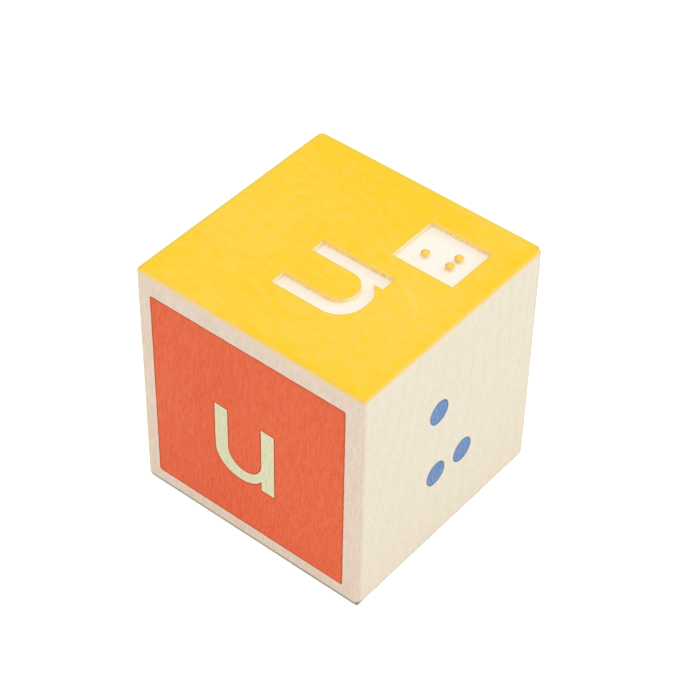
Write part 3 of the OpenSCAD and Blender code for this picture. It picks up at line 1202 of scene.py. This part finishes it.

# %% [markdown]
# The wall's colour runs down a ramp. Over it go the scorch, which on walls that face front or back is
# also painted shade, a paler cream that is painted light on walls that face sideways, and the line at the
# foot, each with a share that is a product of where it lies and how strong it is there.

# %% Carved walls
def cut_tree(name, steps, scorch_low, scorch_high):
    """The finish of a cut wall: a ramp of colours from the rim down, a scorch that is also painted shade on
    walls that face front or back, painted light on walls that face sideways, and a line at the foot.
    """
    material, tree = new_material(name)
    figure = wood_figure(tree)
    down = add(tree, "MapRange", {0: figure["z"], 1: block_size.z, 2: block_size.z - CARVE})
    stain = grown(tree, figure["place"], *STAIN_CELL, detail=2.0)
    uneven = add(tree, "Math", {0: stain, 1: 0.5}, operation="SUBTRACT")
    level_down = add(tree, "Math", {0: uneven, 1: 0.5, 2: down}, operation="MULTIPLY_ADD")
    ramp = add(tree, "ValToRGB", {0: level_down})
    while len(ramp.color_ramp.elements) < len(steps):
        ramp.color_ramp.elements.new(1.0)
    for element, (position, hex_colour) in zip(ramp.color_ramp.elements, steps):
        element.position = position
        element.color = linear(hex_colour)
    broken = grown(tree, figure["place"], *SCORCH_CELL)
    scorch = add(tree, "MapRange", {0: broken, 1: 0.45, 2: 0.62, 3: scorch_low, 4: scorch_high})
    stretch = grown(tree, figure["place"], SCORCH_STRETCH, SCORCH_STRETCH)
    often = add(tree, "MapRange", {0: stretch, 1: 0.3, 2: 0.7, 3: 0.35, 4: 1.4})
    heat = add(tree, "MapRange", {0: figure["y"], 1: HEAT_ALONG[0], 2: HEAT_ALONG[1], 3: 0.4})
    astray = add(tree, "Math", {0: stretch, 1: 0.5}, operation="SUBTRACT")
    astray = add(tree, "Math", {0: astray, 1: SCORCH_WANDER, 2: down}, operation="MULTIPLY_ADD")
    off_line = add(tree, "Math", {0: astray, 1: SCORCH_DEPTH}, operation="SUBTRACT")
    off_line = add(tree, "Math", {0: off_line}, operation="ABSOLUTE")
    line = add(tree, "MapRange", {0: off_line, 2: SCORCH_HALF, 3: 1.0, 4: 0.0})
    # Painted shade and light by the wall's direction: the scorch falls on walls that face front or back, and
    # a paler cream on walls that face sideways.
    facing = add(tree, "SeparateXYZ", {0: add(tree, "TexCoord").outputs["Normal"]}).outputs["Y"]
    facing = add(tree, "Math", {0: facing}, operation="ABSOLUTE")
    sideways = add(tree, "MapRange", {0: facing, 1: 0.8, 2: 0.2})
    painted_light_depth = add(tree, "MapRange", {0: down, 1: PAINTED_LIGHT_DEPTH[0], 2: PAINTED_LIGHT_DEPTH[1]})
    painted_light_along = add(tree, "Math", {0: heat, 1: -0.4, 2: 1.1}, operation="MULTIPLY_ADD")
    foot_line = add(tree, "MapRange", {0: down, 1: 1.0 - FOOT_LINE, 4: 0.5})
    colour = ramp
    for shade, share, *factors in (
            ("#A8704A", scorch, often, heat, line, facing),
            ("#FFF9DC", painted_light_depth, painted_light_along, sideways),
            ("#D9CFA2", foot_line, sideways, heat)):
        for factor in factors:
            share = add(tree, "Math", {0: share, 1: factor}, operation="MULTIPLY")
        colour = add(tree, "Mix", {0: share, 6: colour, 7: linear(shade)}, data_type="RGBA")
    surface(material, colour, roughness=0.8, height=figure["pores"], bump_share=0.4, bump_mm=0.03,
            specular=0.1)
    return material


scorched_and_shaded_wall = cut_tree("scorched_and_shaded_wall", WALL_STEPS, scorch_low=0.02, scorch_high=0.55)
scorched_and_shaded_stud = cut_tree("scorched_and_shaded_stud", STUD_STEPS, scorch_low=0.05, scorch_high=0.3)

# %% [markdown]
# ### Yellow paint
# A thin water-based toy paint, satin when dry. End grain drinks it unevenly, so the colour is mottled:
# a little paler where it sank in and deeper where it stood, and deepest along the back. Towards its own
# lower edge it is so thin that the wood shows. The rims of the carving are a dull olive. The left and back
# edges of the block are darkened to the same olive, which is painted shade. Two fine pale scratches cross
# the paint beside the letter's foot.

# %% Sizes in the yellow paint
CLOUD_LENGTH = 1.7
CLOUD_WIDTH = 0.9
CLOUD_TURN = math.radians(-18)
BACK_BAND = (9.0, 18.0)
EDGE_BAND = (3.5, 1.0)
LEFT_END = (-10.0, 0.0)
SHADE_BAND = (1.2, 0.8)
SHADE_BAND_SHARE = 0.45
FULL_DULL_AND_SHADE = -0.7
SCRATCH_MIDDLE = (-2.0, -24.3, 0.0)
SCRATCHES = ((28.38, 0.07), (28.95, 0.09))
SCRATCH_PATCH = (14.5, -1.1, 0.0)
SCRATCH_FADE = (1.2, 4.0)
print("clouds of colour, mm:", CLOUD_LENGTH, CLOUD_WIDTH, "scratches:", len(SCRATCHES))

# %% [markdown]
# The scratches are arcs round a far middle, seen only near one spot, where their share fades out. The
# coat's own number, ragged by the pores, says where it is thin and where it turns dull olive. Along the far
# edges of the top and on the caps' left that olive is painted shade.

# %% Yellow paint
def yellow_tree(name, scratches, middle, thin_colour, dull_and_shade_colour, dull_and_shade_share):
    """The yellow finish of the top or of a cap, and what it turns to where it is thin, and where it is dull
    olive or holds painted shade.
    """
    material, tree = new_material(name)
    figure = wood_figure(tree)
    x = figure["x"]
    y = figure["y"]
    cloud = add(tree, "Mapping", {
        "Vector": figure["place"], "Rotation": (0.0, 0.0, CLOUD_TURN),
        "Scale": (1 / CLOUD_LENGTH, 1 / CLOUD_WIDTH, 1.0)})
    cloud = add(tree, "TexNoise", {
        "Vector": cloud, "Scale": 1.0, "Detail": 3.0, "Roughness": 0.55, "Distortion": 0.3})
    to_back = add(tree, "Math", {0: x, 1: 0.25, 2: y}, operation="MULTIPLY_ADD")
    back_share = add(tree, "MapRange", {0: to_back, 1: BACK_BAND[0], 2: BACK_BAND[1]})
    right_share = add(tree, "MapRange", {0: x, 1: -HALF.x, 2: HALF.x})
    near_right = add(tree, "MapRange", {0: x, 1: HALF.x - EDGE_BAND[0], 2: HALF.x - EDGE_BAND[1], 4: 0.8})
    from_front = add(tree, "MapRange", {0: y, 1: EDGE_BAND[0] - HALF.y, 2: EDGE_BAND[1] - HALF.y})
    off_left = add(tree, "MapRange", {0: x, 1: LEFT_END[0], 2: LEFT_END[1]})
    near_front = add(tree, "Math", {0: from_front, 1: off_left}, operation="MULTIPLY")
    near_edge = add(tree, "Math", {0: near_right, 1: near_front}, operation="MAXIMUM")
    mottle = tone(tree, [
        (cloud, 1.3), (figure["drift"], 0.35), (figure["pores"], 0.8), (figure["rings"], 0.1),
        (back_share, -0.3), (right_share, 0.36), (near_edge, -0.25)], middle)
    colour = add(tree, "Mix", {0: mottle, 6: linear("#FCCE14"), 7: linear("#FED65A")}, data_type="RGBA")
    layers = []
    for radius, width in scratches:
        flat = add(tree, "VectorMath", {0: figure["place"], 1: (1, 1, 0)}, operation="MULTIPLY")
        reach = add(tree, "VectorMath", {0: flat, 1: SCRATCH_MIDDLE}, operation="DISTANCE")
        off = add(tree, "Math", {0: reach, 1: radius}, operation="SUBTRACT")
        off = add(tree, "Math", {0: off}, operation="ABSOLUTE")
        line = add(tree, "MapRange", {0: off, 1: width, 2: 2.2 * width, 3: 1.0, 4: 0.0})
        patch = add(tree, "VectorMath", {0: flat, 1: SCRATCH_PATCH}, operation="DISTANCE")
        near = add(tree, "MapRange", {0: patch, 1: SCRATCH_FADE[0], 2: SCRATCH_FADE[1], 3: 0.27, 4: 0.0})
        layers.append((add(tree, "Math", {0: line, 1: near}, operation="MULTIPLY"), "#FDE9A0"))
    edge = add(tree, "Attribute", attribute_name="edge").outputs["Fac"]
    wander = add(tree, "MapRange", {0: figure["pores"], 1: 0.3, 2: 0.7, 3: -0.2, 4: 0.2})
    uneven = add(tree, "Math", {0: edge, 1: wander, 2: edge}, operation="MULTIPLY_ADD")
    layers.append((add(tree, "MapRange", {0: uneven}), thin_colour))
    # Painted shade: a dark olive band along the left and back edges of the top.
    far_left = add(tree, "MapRange", {0: x, 1: SHADE_BAND[0] - HALF.x, 2: SHADE_BAND[1] - HALF.x})
    far_back = add(tree, "MapRange", {0: y, 1: HALF.y - SHADE_BAND[0], 2: HALF.y - SHADE_BAND[1]})
    far_edge = add(tree, "Math", {0: far_left, 1: far_back}, operation="MAXIMUM")
    far_shade = add(tree, "Math", {0: far_edge, 1: SHADE_BAND_SHARE * dull_and_shade_share}, operation="MULTIPLY")
    dull_and_shade = add(tree, "MapRange", {0: uneven, 2: FULL_DULL_AND_SHADE, 4: dull_and_shade_share})
    layers.append((add(tree, "Math", {0: dull_and_shade, 1: far_shade}, operation="MAXIMUM"), dull_and_shade_colour))
    for share, shade in layers:
        colour = add(tree, "Mix", {0: share, 6: colour, 7: linear(shade)}, data_type="RGBA")
    surface(material, colour, roughness=0.55, height=cloud, bump_share=0.2, bump_mm=0.03, specular=0.25)
    return material


yellow_paint = yellow_tree("yellow_toy_paint", SCRATCHES, middle=0.145,
                           thin_colour="#FFE0A8", dull_and_shade_colour="#BED074", dull_and_shade_share=0.55)
cap_paint = yellow_tree("yellow_cap_paint", (), middle=0.6,
                        thin_colour="#FFDA9C", dull_and_shade_colour="#C8B260", dull_and_shade_share=0.6)

# %% [markdown]
# ### Printing inks
# Screen-printing ink is matt and opaque, but so thin that the fibres of the wood still show in it as fine
# upright streaks, a few hundredths lighter or darker. Where the ink was squeezed out at the edge
# of the print it is a little deeper, or on the pale letter warmer, and here and there a pore stayed
# open as a nick.

# %% Inks
def ink_tree(name, light, deep, rim, nick, rim_share):
    """A matt printing ink on wood: its light and deep tones, and what its rim and its nicks turn to."""
    material, tree = new_material(name)
    figure = wood_figure(tree)
    streaks = tone(tree, [(figure["fibres"], 1.8), (figure["pores"], 1.4), (figure["drift"], 0.25)])
    colour = add(tree, "Mix", {0: streaks, 6: linear(deep), 7: linear(light)}, data_type="RGBA")
    edge = add(tree, "Attribute", attribute_name="edge").outputs["Fac"]
    squeezed = add(tree, "MapRange", {0: edge, 2: 0.6, 4: rim_share})
    open_pore = add(tree, "MapRange", {0: figure["flecks"], 1: 0.2, 4: 0.4})
    for share, shade in ((squeezed, rim), (open_pore, nick)):
        colour = add(tree, "Mix", {0: share, 6: colour, 7: linear(shade)}, data_type="RGBA")
    surface(material, colour, roughness=0.6, height=figure["fibres"], bump_share=0.3, bump_mm=0.015,
            specular=0.25)
    return material


orange_ink = ink_tree(
    "orange_screen_ink", light="#FF7C50", deep="#F06137", rim="#C4502F", nick="#D55A38", rim_share=0.8)
letter_ink = ink_tree(
    "pale_green_screen_ink", light="#F7FAD3", deep="#E0E5B8", rim="#FFF4C8", nick="#D8DCB4", rim_share=0.5)
blue_ink = ink_tree(
    "blue_pad_ink", light="#89AADB", deep="#5C7EB1", rim="#5A77AC", nick="#5B76AA", rim_share=0.7)

# %% [markdown]
# ## Putting it together
# Every piece takes its finish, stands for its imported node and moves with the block's one body.

# %% Finishes and places
for material in (bare_basswood, carved_floor, scorched_and_shaded_wall, scorched_and_shaded_stud):
    wood_block.data.materials.append(material)

dressed = [(top_coat, yellow_paint, "top_face_paint", "yellow_paint")]
dressed += [(stud_caps[n], cap_paint, f"braille_dot_{n}_paint", "yellow_paint") for n in DOTS]
dressed += [(orange_square, orange_ink, "front_panel_ink", "orange_ink")]
dressed += [(letter_print, letter_ink, "front_letter_ink", "letter_ink")]
dressed += [(blue_dots[n], blue_ink, f"side_dot_{n}_ink", "blue_ink") for n in DOTS]
dressed += [(back_print, blue_ink, "back_panel_ink", "blue_ink")]
for piece, material, _, _ in dressed:
    piece.data.materials.append(material)
for piece, _, node, slot in [(wood_block, None, "block_body", "wood"), *dressed]:
    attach(piece, "root")
    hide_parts(node)
    print(piece.name, "stands for", node)
